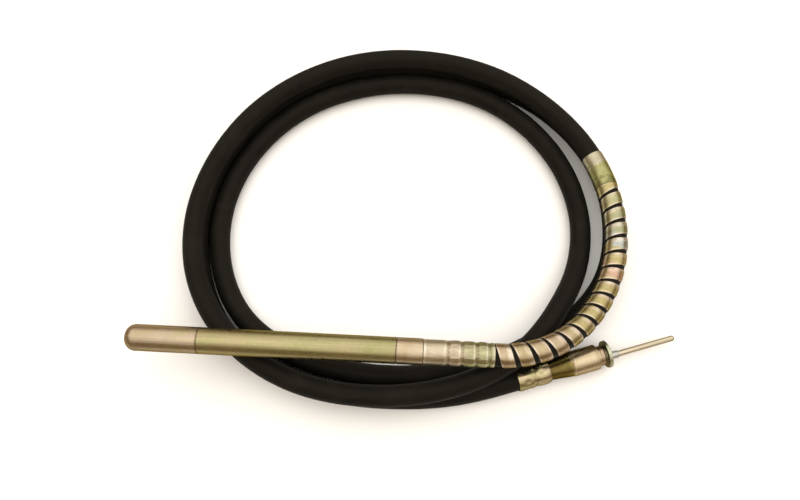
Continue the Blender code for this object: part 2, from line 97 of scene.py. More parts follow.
# Points that the hose passes between its two metal ends, as it was laid, in three turns.
ROUTE = [
    (0.1629, -0.2077, 0.0956), (0.2406, -0.1924, 0.0924), (0.3060, -0.1456, 0.0771),
    (0.3390, -0.1031, 0.0677), (0.3715, -0.0212, 0.0620), (0.3740, 0.0750, 0.0595),
    (0.3470, 0.1670, 0.0580), (0.2780, 0.2650, 0.0556), (0.1830, 0.3340, 0.0556),
    (0.0700, 0.3700, 0.0556), (-0.0500, 0.3720, 0.0556), (-0.1650, 0.3360, 0.0556),
    (-0.2620, 0.2650, 0.0556), (-0.3300, 0.1640, 0.0556), (-0.3610, 0.0450, 0.0556),
    (-0.3440, -0.0740, 0.0556), (-0.2800, -0.1720, 0.0556), (-0.1800, -0.2380, 0.0556),
    (-0.0600, -0.2640, 0.0556), (0.0600, -0.2560, 0.0556), (0.1550, -0.2230, 0.0560),
    (0.2250, -0.1720, 0.0570), (0.2730, -0.1090, 0.0510), (0.3070, -0.0460, 0.0310),
    (0.3260, 0.0400, 0.0190), (0.3110, 0.1380, 0.0184), (0.2560, 0.2350, 0.0184),
    (0.1620, 0.3100, 0.0184), (0.0400, 0.3430, 0.0184), (-0.0820, 0.3330, 0.0184),
    (-0.1890, 0.2860, 0.0184), (-0.2730, 0.2010, 0.0184), (-0.3190, 0.0930, 0.0184),
    (-0.3200, -0.0150, 0.0184), (-0.2708, -0.1241, 0.0184), (-0.1768, -0.1914, 0.0184),
    (-0.0600, -0.2223, 0.0184), (0.0520, -0.2240, 0.0184), (0.1500, -0.2045, 0.0184),
    (0.2400, -0.1640, 0.0184), (0.3150, -0.1140, 0.0184), (0.3640, -0.0480, 0.0184),
    (0.3850, 0.0400, 0.0184), (0.3750, 0.1400, 0.0184), (0.3240, 0.2380, 0.0184),
    (0.2340, 0.3180, 0.0184), (0.1220, 0.3665, 0.0184), (0.0377, 0.3802, 0.0184),
    (-0.0726, 0.3731, 0.0184), (-0.1778, 0.3364, 0.0184), (-0.2675, 0.2681, 0.0184),
    (-0.3308, 0.1751, 0.0184), (-0.3611, 0.0659, 0.0184), (-0.3513, -0.0484, 0.0184),
    (-0.2975, -0.1535, 0.0184), (-0.2036, -0.2204, 0.0184), (-0.0979, -0.2543, 0.0184),
    (0.0114, -0.2631, 0.0184), (0.0980, -0.2565, 0.0200),
]


# ---------------------------------------------------------------- the hose's line
def along(start, heading, station):
    """The point at a station on a straight level line."""
    return start + Vector((math.cos(heading), math.sin(heading), 0.0)) * station


def smooth_curve(route, step):
    """Points a small step apart on the natural cubic spline through the route."""
    knots = np.array(route, dtype=float)
    chord = np.linalg.norm(np.diff(knots, axis=0), axis=1)
    t = np.concatenate(([0.0], np.cumsum(chord)))
    count = len(knots)
    matrix = np.eye(count)
    right = np.zeros((count, 3))
    for i in range(1, count - 1):
        before = t[i] - t[i - 1]
        after = t[i + 1] - t[i]
        matrix[i, i - 1] = before / 6.0
        matrix[i, i] = (before + after) / 3.0
        matrix[i, i + 1] = after / 6.0
        right[i] = (knots[i + 1] - knots[i]) / after - (knots[i] - knots[i - 1]) / before
    bend = np.linalg.solve(matrix, right)
    samples = np.arange(0.0, t[-1], step)
    place = np.clip(np.searchsorted(t, samples, side="right") - 1, 0, count - 2)
    width = (t[place + 1] - t[place])[:, None]
    b = (samples[:, None] - t[place][:, None]) / width
    a = 1.0 - b
    curve = a * knots[place] + b * knots[place + 1]
    curve += ((a ** 3 - a) * bend[place] + (b ** 3 - b) * bend[place + 1]) * width ** 2 / 6.0
    return np.vstack((curve, knots[-1]))


def hose_route():
    """The route's points, with straight runs in the head's sleeve and in the ferrule."""
    head = [along(HEAD_TIP, HEAD_HEADING, s) for s in (HOSE_START, 0.5270, 0.5600, 0.5840)]
    drive = [along(DRIVE_START, DRIVE_HEADING, s) for s in (-0.0150, 0.0150, HOSE_STOP)]
    middle = [Vector(p) - ORIGIN for p in ROUTE]
    return [tuple(p) for p in head + middle + drive]


FINE = smooth_curve(hose_route(), 0.001)
RUN = np.concatenate(([0.0], np.cumsum(np.linalg.norm(np.diff(FINE, axis=0), axis=1))))
HOSE_LENGTH = float(RUN[-1])
FINE_DIR = np.gradient(FINE, RUN, axis=0)
FINE_DIR /= np.linalg.norm(FINE_DIR, axis=1)[:, None]
TURN = np.gradient(np.unwrap(np.arctan2(FINE_DIR[:, 1], FINE_DIR[:, 0])), RUN)


def frames(lengths):
    """Centre, outward side and upward direction at lengths along the hose."""
    centre = np.stack([np.interp(lengths, RUN, FINE[:, k]) for k in range(3)], 1)
    way = np.stack([np.interp(lengths, RUN, FINE_DIR[:, k]) for k in range(3)], 1)
    side = np.cross(way, (0.0, 0.0, 1.0))
    side /= np.linalg.norm(side, axis=1)[:, None]
    lift = np.cross(side, way)
    return centre, side, lift


# ---------------------------------------------------------------- mesh building
def grid_mesh(name, grid, mat, around=True, closed=False, u=None, v=None, caps=(), sharp=38.0):
    """A quad skin over a grid of points, rows along the piece and columns round it."""
    rows, cols, _ = grid.shape
    row = np.arange(rows if closed else rows - 1)[:, None]
    col = np.arange(cols if around else cols - 1)[None, :]
    next_row = (row + 1) % rows
    next_col = (col + 1) % cols
    quads = np.stack(
        (row * cols + col, row * cols + next_col, next_row * cols + next_col, next_row * cols + col), -1
    )
    faces = quads.reshape(-1, 4).tolist()
    for end in caps:
        faces.append([(end % rows) * cols + k for k in range(cols)])
    mesh = bpy.data.meshes.new(name)
    mesh.from_pydata(grid.reshape(-1, 3).tolist(), [], faces)
    if u is None:
        u = np.arange(cols + 1)[None, :] / cols
    if v is None:
        v = np.arange(rows, dtype=float)
    if v.ndim == 1:
        v = np.append(v, v[-1] + (v[-1] - v[-2]))[:, None]
    u, v = np.broadcast_arrays(u, v)
    corners = ((row, col), (row, col + 1), (row + 1, col + 1), (row + 1, col))
    uv = np.stack([np.stack((u[place], v[place]), -1) for place in corners], 2)
    flat = np.concatenate((uv.reshape(-1), np.zeros(2 * cols * len(caps))))
    mesh.uv_layers.new(name="UVMap").data.foreach_set("uv", flat.astype(np.float32))
    build = bmesh.new()
    build.from_mesh(mesh)
    bmesh.ops.recalc_face_normals(build, faces=build.faces)
    build.to_mesh(mesh)
    build.free()
    mesh.shade_smooth()
    mesh.set_sharp_from_angle(angle=math.radians(sharp))
    mesh.materials.append(mat)
    obj = bpy.data.objects.new(name, mesh)
    bpy.context.scene.collection.objects.link(obj)
    return obj


def ring_angles(count):
    return TAU * np.arange(count) / count


def bent_tube(name, lengths, outer_r, inner_r, mat):
    """A tube on the hose's line; outer_r holds a radius for each length and each angle."""
    angle = ring_angles(outer_r.shape[1])
    centre, side, lift = frames(lengths)
    centre = centre[:, None, :]
    out = (side[:, None, :] * np.cos(angle)[None, :, None]
           + lift[:, None, :] * np.sin(angle)[None, :, None])
    outer = centre + out * outer_r[:, :, None]
    inner = centre + out * inner_r
    grid = np.concatenate((outer, inner[::-1]))
    v = np.concatenate((lengths, lengths[::-1]))
    return grid_mesh(name, grid, mat, closed=True, v=v)


def softened(profile, closed):
    """The profile's corners rounded; each point is (station, radius, rounding)."""
    longest = 0.45  # of the line to the next corner
    points = []
    count = len(profile)
    for i, (x, r, cut) in enumerate(profile):
        here = np.array((x, r))
        if cut <= 0.0 or (not closed and i in (0, count - 1)):
            points.append(here)
            continue
        before = np.array(profile[i - 1][:2])
        after = np.array(profile[(i + 1) % count][:2])
        back = before - here
        front = after - here
        size = min(cut, longest * np.linalg.norm(back), longest * np.linalg.norm(front))
        a = here + back / np.linalg.norm(back) * size
        b = here + front / np.linalg.norm(front) * size
        for t in (0.0, 0.2, 0.4, 0.6, 0.8, 1.0):
            points.append((1 - t) ** 2 * a + 2 * t * (1 - t) * here + t * t * b)
    return np.array(points)


def dense(points, step, closed):
    """Extra points on a profile's straight lines, no more than a step apart."""
    out = []
    count = len(points)
    for i in range(count if closed else count - 1):
        a = points[i]
        b = points[(i + 1) % count]
        parts = max(1, int(math.ceil(np.linalg.norm(b - a) / step)))
        out += [a + (b - a) * j / parts for j in range(parts)]
    if not closed:
        out.append(points[-1])
    return np.array(out)


def lathe(name, profile, start, heading, mat, segments=96, closed=True, form=None, step=0.002):
    """A turned piece along its own +X from start; form(x, angle, r) presses dents in it."""
    points = softened(profile, closed)
    if form is not None:
        points = dense(points, step, closed)
    angle = ring_angles(segments)
    x = points[:, :1] + 0.0 * angle[None, :]
    r = points[:, 1:] + 0.0 * angle[None, :]
    spin = angle[None, :] + 0.0 * r
    if form is not None:
        r = form(x, spin, r)
    grid = np.stack((x, r * np.cos(spin), r * np.sin(spin)), -1)
    caps = () if closed else (0, len(points) - 1)
    length = np.concatenate(([0.0], np.cumsum(np.linalg.norm(np.diff(points, axis=0), axis=1))))
    obj = grid_mesh(name, grid, mat, closed=closed, v=length, caps=caps)
    obj.matrix_world = Matrix.Translation(start) @ Matrix.Rotation(heading, 4, "Z")
    return obj


def turn_gap(a, b):
    """The smaller angle between two directions."""
    return np.abs((a - b + math.pi) % TAU - math.pi)


# ---------------------------------------------------------------- materials
def fill_ramp(node, stops):
    """Sets a colour ramp's stops; each is (position, (r, g, b))."""
    elements = node.color_ramp.elements
    while len(elements) < len(stops):
        elements.new(0.5)
    for element, (place, colour) in zip(elements, stops):
        element.position = place
        element.color = (*colour, 1.0)


class Paint:
    """A material's node tree, built a node at a time."""

    def __init__(self, name):
        self.mat = bpy.data.materials.new(name)
        self.mat.use_nodes = True
        self.tree = self.mat.node_tree
        self.shader = self.tree.nodes["Principled BSDF"]
        self.coords = self.tree.nodes.new("ShaderNodeTexCoord")
        self.place = self.coords.outputs["Object"]

    def link(self, source, target):
        self.tree.links.new(source, target)

    def put(self, socket, value):
        if isinstance(value, bpy.types.NodeSocket):
            self.link(value, socket)
        elif value is not None:
            socket.default_value = value

    def math(self, operation, a, b=None, clamp=False):
        node = self.tree.nodes.new("ShaderNodeMath")
        node.operation = operation
        node.use_clamp = clamp
        self.put(node.inputs[0], a)
        self.put(node.inputs[1], b)
        return node.outputs[0]

    def spaced(self, scale, source=None):
        """The piece's own coordinates, or the source's, times a scale on each axis."""
        node = self.tree.nodes.new("ShaderNodeMapping")
        self.link(source or self.place, node.inputs["Vector"])
        node.inputs["Scale"].default_value = scale
        return node.outputs[0]

    def noise(self, vector, scale, detail=3.0, rough=0.55, twist=0.0):
        node = self.tree.nodes.new("ShaderNodeTexNoise")
        self.link(vector, node.inputs["Vector"])
        node.inputs["Scale"].default_value = scale
        node.inputs["Detail"].default_value = detail
        node.inputs["Roughness"].default_value = rough
        node.inputs["Distortion"].default_value = twist
        return node.outputs["Fac"]

    def ramp(self, value, stops):
        """Colours along a value, eased from stop to stop."""
        node = self.tree.nodes.new("ShaderNodeValToRGB")
        node.color_ramp.interpolation = "EASE"
        fill_ramp(node, stops)
        self.link(value, node.inputs["Fac"])
        return node.outputs["Color"]

    def fit(self, value, low, high, to_low=0.0, to_high=1.0):
        """The value carried from one range to another, and held at its ends."""
        node = self.tree.nodes.new("ShaderNodeMapRange")
        self.link(value, node.inputs["Value"])
        for socket, number in zip(list(node.inputs)[1:5], (low, high, to_low, to_high)):
            socket.default_value = number
        return node.outputs["Result"]

    def mix(self, factor, a, b, kind="MIX"):
        node = self.tree.nodes.new("ShaderNodeMix")
        node.data_type = "RGBA"
        node.blend_type = kind
        self.put(node.inputs["Factor"], factor)
        for key, value in (("A", a), ("B", b)):
            socket = [s for s in node.inputs if s.name == key and s.type == "RGBA"][0]
            if isinstance(value, tuple):
                value = (*value, 1.0)
            self.put(socket, value)
        return [s for s in node.outputs if s.type == "RGBA"][0]

    def shaded(self, colour, shade):
        """The colour times a plain number."""
        grey = self.tree.nodes.new("ShaderNodeCombineXYZ")
        for socket in grey.inputs:
            self.link(shade, socket)
        return self.mix(1.0, colour, grey.outputs[0], "MULTIPLY")

    def bump(self, height, strength, distance, normal=None):
        node = self.tree.nodes.new("ShaderNodeBump")
        node.inputs["Strength"].default_value = strength
        node.inputs["Distance"].default_value = distance
        self.link(height, node.inputs["Height"])
        if normal is not None:
            self.link(normal, node.inputs["Normal"])
        return node.outputs["Normal"]

    def axes(self):
        """The piece's own coordinates one by one; the first runs along it."""
        node = self.tree.nodes.new("ShaderNodeSeparateXYZ")
        self.link(self.place, node.inputs[0])
        return node.outputs

    def banded(self, colour, bands, tint, amount, grain, cover):
        """A tint laid in bands along the piece, full at each middle and broken by a grain."""
        for low, high in bands:
            middle = (low + high) / 2.0
            station = self.axes()[0]
            band = self.math("MULTIPLY", self.fit(station, low, middle), self.fit(station, high, middle))
            broken = self.fit(self.noise(self.place, grain), cover[0], cover[1])
            laid = self.math("MULTIPLY", band, broken, True)
            colour = self.mix(self.math("MULTIPLY", laid, amount), colour, tint)
        return colour

    def wrapped(self, radius):
        """On a bent tube: a seamless place on the straightened tube, the turn and the length."""
        split = self.tree.nodes.new("ShaderNodeSeparateXYZ")
        self.link(self.coords.outputs["UV"], split.inputs[0])
        angle = self.math("MULTIPLY", split.outputs[0], TAU)
        join = self.tree.nodes.new("ShaderNodeCombineXYZ")
        self.link(self.math("MULTIPLY", self.math("COSINE", angle), radius), join.inputs[0])
        self.link(self.math("MULTIPLY", self.math("SINE", angle), radius), join.inputs[1])
        self.link(split.outputs[1], join.inputs[2])
        return join.outputs[0], split.outputs[0], split.outputs[1]

    def finish(self, colour, roughness, metallic, normal=None, specular=None, edge=None):
        """Joins the looks to the shader; edge tints what shines at a glancing angle."""
        self.link(colour, self.shader.inputs["Base Color"])
        self.put(self.shader.inputs["Roughness"], roughness)
        self.shader.inputs["Metallic"].default_value = metallic
        if specular is not None:
            self.shader.inputs["Specular IOR Level"].default_value = specular
        if edge is not None:
            self.shader.inputs["Specular Tint"].default_value = (*edge, 1.0)
        if normal is not None:
            self.link(normal, self.shader.inputs["Normal"])
        return self.mat


DARK_EDGE = (0.36, 0.31, 0.21)    # the plated metals stay dark where they turn away
# dark band colour: grime at the seams, painted shade in the grooves
GRIME_AND_SHADE = (0.10, 0.070, 0.038)
# painted highlight colour for bright lines on edges and steps
PAINTED_HIGHLIGHT = (0.560, 0.500, 0.400)
PINK = (0.300, 0.225, 0.150)
TAN = (0.290, 0.225, 0.125)
GOLD = (0.285, 0.235, 0.105)
OLIVE = (0.225, 0.210, 0.085)


def plated(name, tints, streak=(6.0, 260.0, 260.0), rough=(0.24, 0.40), grime_and_shade=(), painted_highlights=(), tilt=None):
    """Yellow zinc plate: tints in soft clouds, drawn streaks, specks, dark bands of grime and painted
    shade, and bright bands of painted highlight on edges.

    With a tilt, the tints also follow one another along the piece, between its two stations.
    """
    paint = Paint(name)
    clouds = paint.noise(paint.spaced((0.55, 1.0, 1.0)), 34.0, 3.0, 0.55, 0.6)
    if tilt is not None:
        gradient = paint.fit(paint.axes()[0], tilt[0], tilt[1])
        clouds = paint.math("ADD", paint.math("MULTIPLY", clouds, 0.45),
                            paint.math("MULTIPLY", gradient, 0.55))
    drawn = paint.noise(paint.spaced(streak), 1.0, 4.0, 0.6)
    colour = paint.shaded(paint.ramp(clouds, tints), paint.fit(drawn, 0.3, 0.7, 0.84, 1.16))
    specks = paint.noise(paint.place, 900.0, 2.0, 0.5)
    colour = paint.mix(paint.fit(specks, 0.62, 0.78, 0.0, 0.35), colour, (0.10, 0.065, 0.035))
    # dark bands: grime at the seams, painted shade in the grooves
    colour = paint.banded(colour, grime_and_shade, GRIME_AND_SHADE, 0.65, grain=420.0, cover=(0.38, 0.56))
    # bright bands: painted highlights on edges and steps
    colour = paint.banded(colour, painted_highlights, PAINTED_HIGHLIGHT, 0.70, grain=260.0, cover=(0.30, 0.55))
    smear = paint.noise(paint.place, 160.0, 4.0, 0.6)
    roughness = paint.fit(smear, 0.3, 0.7, rough[0], rough[1])
    normal = paint.bump(drawn, 0.12, 0.0004)
    normal = paint.bump(paint.noise(paint.place, 1300.0, 2.0), 0.10, 0.0002, normal)
    return paint.finish(colour, roughness, 1.0, normal, edge=DARK_EDGE)


def cap_paint():
    """Pinkish tan, dirty at the seam."""
    return plated("plated_cap", [
        (0.30, (0.250, 0.180, 0.105)), (0.42, (0.300, 0.232, 0.140)), (0.55, (0.310, 0.240, 0.165)),
        (0.72, (0.290, 0.240, 0.130)),
    ], grime_and_shade=((CAP_END - 0.003, CAP_END + 0.001),))


def tube_paint():
    """Olive gold, dirty at both seams."""
    return plated("plated_tube", [
        (0.28, (0.215, 0.200, 0.085)), (0.42, (0.245, 0.215, 0.105)), (0.58, (0.262, 0.216, 0.112)),
        (0.75, (0.280, 0.225, 0.130)),
    ], grime_and_shade=((CAP_END - 0.001, CAP_END + 0.003), (TUBE_END - 0.003, TUBE_END + 0.001)))


def connector_paint():
    """Light pinkish tan, dirty at the seam."""
    return plated("plated_connector", [
        (0.30, (0.330, 0.265, 0.160)), (0.50, (0.350, 0.280, 0.190)), (0.70, (0.320, 0.240, 0.150)),
    ], grime_and_shade=((TUBE_END - 0.001, TUBE_END + 0.003),))


def crimp_paint():
    """Pinkish by the head and greener by the hose; grooves darkened with painted shade and grime, and
    painted highlights on the rims.
    """
    return plated("plated_crimp", [
        (0.20, (0.355, 0.298, 0.208)), (0.42, (0.335, 0.275, 0.190)), (0.58, (0.265, 0.243, 0.140)),
        (0.78, (0.272, 0.262, 0.143)),
    ], tilt=(0.510, 0.575), rough=(0.28, 0.46), streak=(60.0, 200.0, 200.0),
        # bands of painted shade and grime in the grooves, painted highlights on the rims and the mouth
        grime_and_shade=[(groove - 0.0022, groove + 0.0038) for groove in CRIMP_GROOVES],
        painted_highlights=((0.4780, 0.4830), (0.5105, 0.5150), (0.5332, 0.5375), (0.5565, 0.5610),
               (0.5766, 0.5808), (0.5875, 0.5915)))


def ferrule_paint():
    """Mottled olive, gold and tan, darker in the waist and at the cone."""
    return plated("plated_ferrule", [
        (0.28, (0.170, 0.150, 0.055)), (0.42, (0.290, 0.260, 0.130)), (0.55, (0.330, 0.260, 0.160)),
        (0.72, (0.300, 0.270, 0.140)),
    ], rough=(0.20, 0.38), grime_and_shade=((0.028, 0.034), (0.053, 0.058)))


def drive_paint():
    """Dark olive on the cone, pinkish tan on the cylinder."""
    # A darker band at the body's end, and a painted highlight at the cone's end.
    return plated("plated_drive", [
        (0.20, (0.080, 0.058, 0.016)), (0.42, (0.150, 0.112, 0.034)), (0.55, (0.345, 0.272, 0.160)),
        (0.80, (0.370, 0.290, 0.185)),
    ], tilt=(CONE_END - 0.010, CONE_END + 0.010), grime_and_shade=((BODY_END - 0.0015, BODY_END + 0.001),),
        painted_highlights=((CONE_END - 0.0010, CONE_END + 0.0014),))


def flange_paint():
    """Pinkish collar, latch groove darkened with painted shade, pale green-grey rim."""
    return plated("plated_flange", [
        # the dark stop over the latch groove and the band in the groove are painted shade
        (0.10, (0.330, 0.235, 0.160)), (0.34, (0.300, 0.210, 0.140)), (0.46, (0.200, 0.160, 0.090)),
        (0.72, (0.330, 0.330, 0.230)), (0.90, (0.350, 0.345, 0.260)),
    ], tilt=(BODY_END + 0.006, FLANGE_END - 0.001), grime_and_shade=((BODY_END + 0.010, GROOVE_END),))


def rod_paint():
    """Pale pinkish gold."""
    return plated("plated_rod", [
        (0.30, (0.330, 0.310, 0.200)), (0.50, (0.390, 0.330, 0.235)), (0.70, (0.420, 0.355, 0.265)),
    ])


def strip_paint():
    """The guard's strip: plating whose tint changes from turn to turn along the hose."""
    paint = Paint("guard_strip")
    wrap, around, length = paint.wrapped(HOSE_R)
    blotch = paint.noise(paint.spaced((0.8, 0.8, 0.8), wrap), 60.0, 3.0, 0.55, 0.5)
    wobble = paint.fit(blotch, 0.3, 0.7, -0.022, 0.022)
    share = paint.fit(paint.math("ADD", length, wobble), GUARD_START, GUARD_STOP)
    colour = paint.ramp(share, [
        (0.00, PINK), (0.10, TAN), (0.22, PINK), (0.34, GOLD), (0.52, GOLD), (0.59, TAN),
        (0.627, (0.390, 0.240, 0.175)), (0.66, GOLD), (0.715, GOLD), (0.755, (0.290, 0.305, 0.285)),
        (0.81, (0.225, 0.220, 0.125)), (0.92, (0.270, 0.250, 0.130)), (1.00, GOLD),
    ])
    drawn = paint.noise(paint.spaced((14.0, 14.0, 900.0), wrap), 1.0, 4.0, 0.6)
    colour = paint.shaded(colour, paint.fit(drawn, 0.3, 0.7, 0.84, 1.16))
    specks = paint.noise(wrap, 700.0, 2.0)
    colour = paint.mix(paint.fit(specks, 0.64, 0.78, 0.0, 0.4), colour, (0.09, 0.06, 0.035))
    lead = paint.math("ADD", length, paint.math("MULTIPLY", around, GUARD_PITCH))
    across = paint.math("SUBTRACT", lead, GUARD_PHASE)
    # Painted highlights: a lighter rim along both edges of the strip and a painted sheen across each
    # band.
    rim = paint.fit(paint.math("ABSOLUTE", across), 0.0076, 0.0100, 0.0, 0.55)
    colour = paint.mix(rim, colour, (0.500, 0.420, 0.330))
    painted_sheen = paint.math("MULTIPLY", paint.fit(across, 0.0015, 0.0060), paint.fit(blotch, 0.35, 0.6))
    colour = paint.mix(paint.math("MULTIPLY", painted_sheen, 0.7), colour, (0.520, 0.440, 0.370))
    stain = paint.noise(wrap, 105.0, 3.0, 0.6, 0.8)
    colour = paint.mix(paint.fit(stain, 0.50, 0.72, 0.0, 0.45), colour, (0.200, 0.135, 0.070))
    roughness = paint.fit(paint.noise(wrap, 200.0, 4.0), 0.3, 0.7, 0.20, 0.36)
    return paint.finish(colour, roughness, 1.0, paint.bump(drawn, 0.08, 0.0004), edge=DARK_EDGE)


def end_sleeve_paint():
    """Green where the guard stops, then tan towards the open end."""
    paint = Paint("plated_end_sleeve")
    wrap, _, length = paint.wrapped(HOSE_R)
    blotch = paint.noise(wrap, 75.0, 3.0, 0.55, 0.5)
    wobble = paint.fit(blotch, 0.3, 0.7, -0.02, 0.02)
    share = paint.fit(paint.math("ADD", length, wobble), GUARD_STOP, END_SLEEVE_STOP)
    colour = paint.ramp(share, [
        (0.00, (0.150, 0.140, 0.055)), (0.28, (0.250, 0.240, 0.105)), (0.52, OLIVE),
        (0.72, (0.330, 0.300, 0.210)), (1.00, (0.310, 0.275, 0.190)),
    ])
    spots = paint.noise(wrap, 600.0, 2.0)
    colour = paint.mix(paint.fit(spots, 0.6, 0.75, 0.0, 0.5), colour, (0.10, 0.08, 0.04))
    roughness = paint.fit(paint.noise(wrap, 180.0, 4.0), 0.3, 0.7, 0.30, 0.48)
    return paint.finish(colour, roughness, 1.0, paint.bump(blotch, 0.15, 0.0006), edge=DARK_EDGE)


def hose_paint():
    """Wrapped black rubber: brownish and dusty, with fine lengthwise lines and winding marks."""
    winding_pitch = 0.0021
    winding_slant = 9.0
    paint = Paint("hose_rubber_look")
    wrap, around, length = paint.wrapped(HOSE_R)
    dust = paint.noise(wrap, 26.0, 4.0, 0.6, 0.4)
    colour = paint.ramp(dust, [
        (0.30, (0.0048, 0.0040, 0.0031)), (0.50, (0.0064, 0.0053, 0.0040)),
        (0.72, (0.0098, 0.0079, 0.0059)),
    ])
    scuffs = paint.noise(paint.spaced((90.0, 90.0, 7.0), wrap), 1.0, 4.0, 0.65)
    colour = paint.mix(paint.fit(scuffs, 0.60, 0.80, 0.0, 0.45), colour, (0.018, 0.0155, 0.012))
    lines = paint.noise(paint.spaced((420.0, 420.0, 5.0), wrap), 1.0, 2.0)
    lead = paint.math("ADD", paint.math("MULTIPLY", length, TAU / winding_pitch),
                      paint.math("MULTIPLY", around, TAU * winding_slant))
    winding = paint.math("MULTIPLY", paint.math("SINE", lead), 0.5)
    grain = paint.noise(wrap, 1500.0, 2.0)
    normal = paint.bump(lines, 0.25, 0.0003)
    normal = paint.bump(winding, 0.10, 0.0001, normal)
    normal = paint.bump(grain, 0.25, 0.0002, normal)
    roughness = paint.fit(dust, 0.3, 0.7, 0.52, 0.68)
    return paint.finish(colour, roughness, 0.0, normal, specular=0.07, edge=(1.0, 0.90, 0.74))


def steel_paint(name, low, high, rough):
    """Bare or oiled steel with turning marks."""
    paint = Paint(name)
    turned = paint.noise(paint.spaced((1500.0, 20.0, 20.0)), 1.0, 3.0)
    film = paint.noise(paint.place, 60.0, 4.0)
    colour = paint.ramp(film, [(0.30, low), (0.70, high)])
    roughness = paint.fit(film, 0.3, 0.7, rough[0], rough[1])
    return paint.finish(colour, roughness, 1.0, paint.bump(turned, 0.15, 0.0003))


def wire_paint():
    """The inner shaft's wound wires."""
    paint = Paint("wound_wire")
    waves = 2400.0
    axes = paint.axes()
    lead = paint.math("ADD", paint.math("MULTIPLY", axes[0], waves),
                      paint.math("MULTIPLY", axes[1], waves))
    winding = paint.math("SINE", lead)
    film = paint.noise(paint.place, 90.0, 3.0)
    colour = paint.ramp(film, [(0.3, (0.18, 0.17, 0.15)), (0.7, (0.40, 0.39, 0.36))])
    roughness = paint.fit(film, 0.3, 0.7, 0.28, 0.45)
    return paint.finish(colour, roughness, 1.0, paint.bump(winding, 0.5, 0.0004))


def seal_paint():
    """Brown rubber of the seal and the O-rings."""
    paint = Paint("seal_rubber_look")
    film = paint.noise(paint.place, 240.0, 3.0)
    colour = paint.ramp(film, [(0.3, (0.030, 0.017, 0.011)), (0.7, (0.060, 0.036, 0.024))])
    roughness = paint.fit(film, 0.3, 0.7, 0.45, 0.62)
    return paint.finish(colour, roughness, 0.0, paint.bump(film, 0.2, 0.0002), specular=0.35)


# ---------------------------------------------------------------- head pieces
def head_cap():
    """Blunt nose with a rounded shoulder, and a spigot with its O-ring's seat behind the seam."""
    nose_depth = 0.0175
    nose_steps = 24
    bluntness = 0.80
    nose = []
    for i in range(nose_steps + 1):
        angle = math.radians(90.0) * i / nose_steps
        radius = max(HEAD_R * math.cos(angle) ** bluntness, AXIS_R)
        nose.append((nose_depth * (1.0 - math.sin(angle)), radius, 0.0))
    profile = [
        (CAP_END + SPIGOT, AXIS_R, 0.0), (CAP_END + SPIGOT, SPIGOT_R, 0.001),
        (CAP_END + O_RING_FAR + 0.0001, SPIGOT_R, 0.0002), (CAP_END + O_RING_FAR, O_RING_R, 0.0),
        (CAP_END + O_RING_NEAR, O_RING_R, 0.0), (CAP_END, SEAM_FACE_R, 0.0),
        (CAP_END, HEAD_R, 0.0009),
    ]
    return lathe("tip_cap", profile + nose, HEAD_TIP, HEAD_HEADING, cap_paint(),
                 segments=128, closed=False)


def head_tube():
    """Plain tube between the two seams."""
    low = CAP_END + FIT
    high = TUBE_END - FIT
    profile = [
        (high, HEAD_R, 0.0007), (low, HEAD_R, 0.0007),
        (low, TUBE_BORE_R, 0.0002), (high, TUBE_BORE_R, 0.0002),
    ]
    return lathe("tube", profile, HEAD_TIP, HEAD_HEADING, tube_paint(), segments=128)


def head_connector():
    """Short connector, with a spigot and its O-ring's seat in front of the seam."""
    bore = 0.0112
    profile = [
        (CONNECTOR_END, HEAD_R, 0.0008), (TUBE_END, HEAD_R, 0.0008),
        (TUBE_END, SEAM_FACE_R, 0.0), (TUBE_END - O_RING_NEAR, O_RING_R, 0.0),
        (TUBE_END - O_RING_FAR, O_RING_R, 0.0), (TUBE_END - O_RING_FAR - 0.0002, SPIGOT_R, 0.0002),
        (TUBE_END - SPIGOT, SPIGOT_R, 0.0005), (TUBE_END - SPIGOT, bore, 0.0002),
        (CONNECTOR_END, bore, 0.0002),
    ]
    return lathe("connector", profile, HEAD_TIP, HEAD_HEADING, connector_paint(), segments=128)


def crimp_form(x, angle, r):
    """Eight die jaws leave ridges on each pressed band, uneven waves and a few round dents."""
    outside = r > 0.0186
    bands = ((0.5205, 0.5365), (0.5430, 0.5600), (0.5660, 0.5800), (0.5860, 0.5912))
    ease = 0.002
    pressed = np.zeros_like(x)
    for low, high in bands:
        pressed += np.clip((x - low) / ease, 0, 1) * np.clip((high - x) / ease, 0, 1)
    jaw = np.cos(8.0 * (angle - 0.21)) ** 8
    wobble = 0.00012 * np.sin(3.0 * angle + 190.0 * x) + 0.00008 * np.sin(7.0 * angle - 330.0 * x)
    dents = ((0.5290, 1.9), (0.5515, 1.2), (0.5735, 2.1), (0.5515, -1.0), (0.5290, 4.2))
    dent = 0.0
    for station, spot in dents:
        near = ((x - station) / 0.0060) ** 2 + (turn_gap(angle, spot) / 0.28) ** 2
        dent = dent + 0.00035 * np.exp(-near)
    shaped = r + pressed * (0.00028 * jaw + wobble - dent)
    return np.where(outside, shaped, r)


def crimp_sleeve():
    """Sleeve pressed over the hose's end: a plain mouth, then pillows between grooves."""
    mouth_r = 0.0205
    half = 0.0034
    floor_half = 0.0006
    profile = [(SLEEVE_END, 0.0193, 0.0006), (0.5868, 0.0196, 0.001)]
    for i, groove in enumerate(reversed(CRIMP_GROOVES)):
        bump_r = 0.0198 + 0.0002 * i
        groove_r = bump_r - 0.0010
        profile += [
            (groove + half, bump_r - 0.0001, 0.0016), (groove + floor_half, groove_r, 0.0008),
            (groove - floor_half, groove_r, 0.0008), (groove - half, bump_r + 0.0001, 0.0016),
        ]
        if groove > CRIMP_GROOVES[0]:
            profile.append((groove - 0.0100, bump_r + 0.00035, 0.004))
    profile += [
        (CONNECTOR_END + FIT, mouth_r, 0.0018), (CONNECTOR_END + FIT, SLEEVE_BORE_R, 0.0002),
        (SLEEVE_END, SLEEVE_BORE_R, 0.0002),
    ]
    return lathe("crimp_sleeve", profile, HEAD_TIP, HEAD_HEADING, crimp_paint(),
                 segments=144, form=crimp_form, step=0.0010)


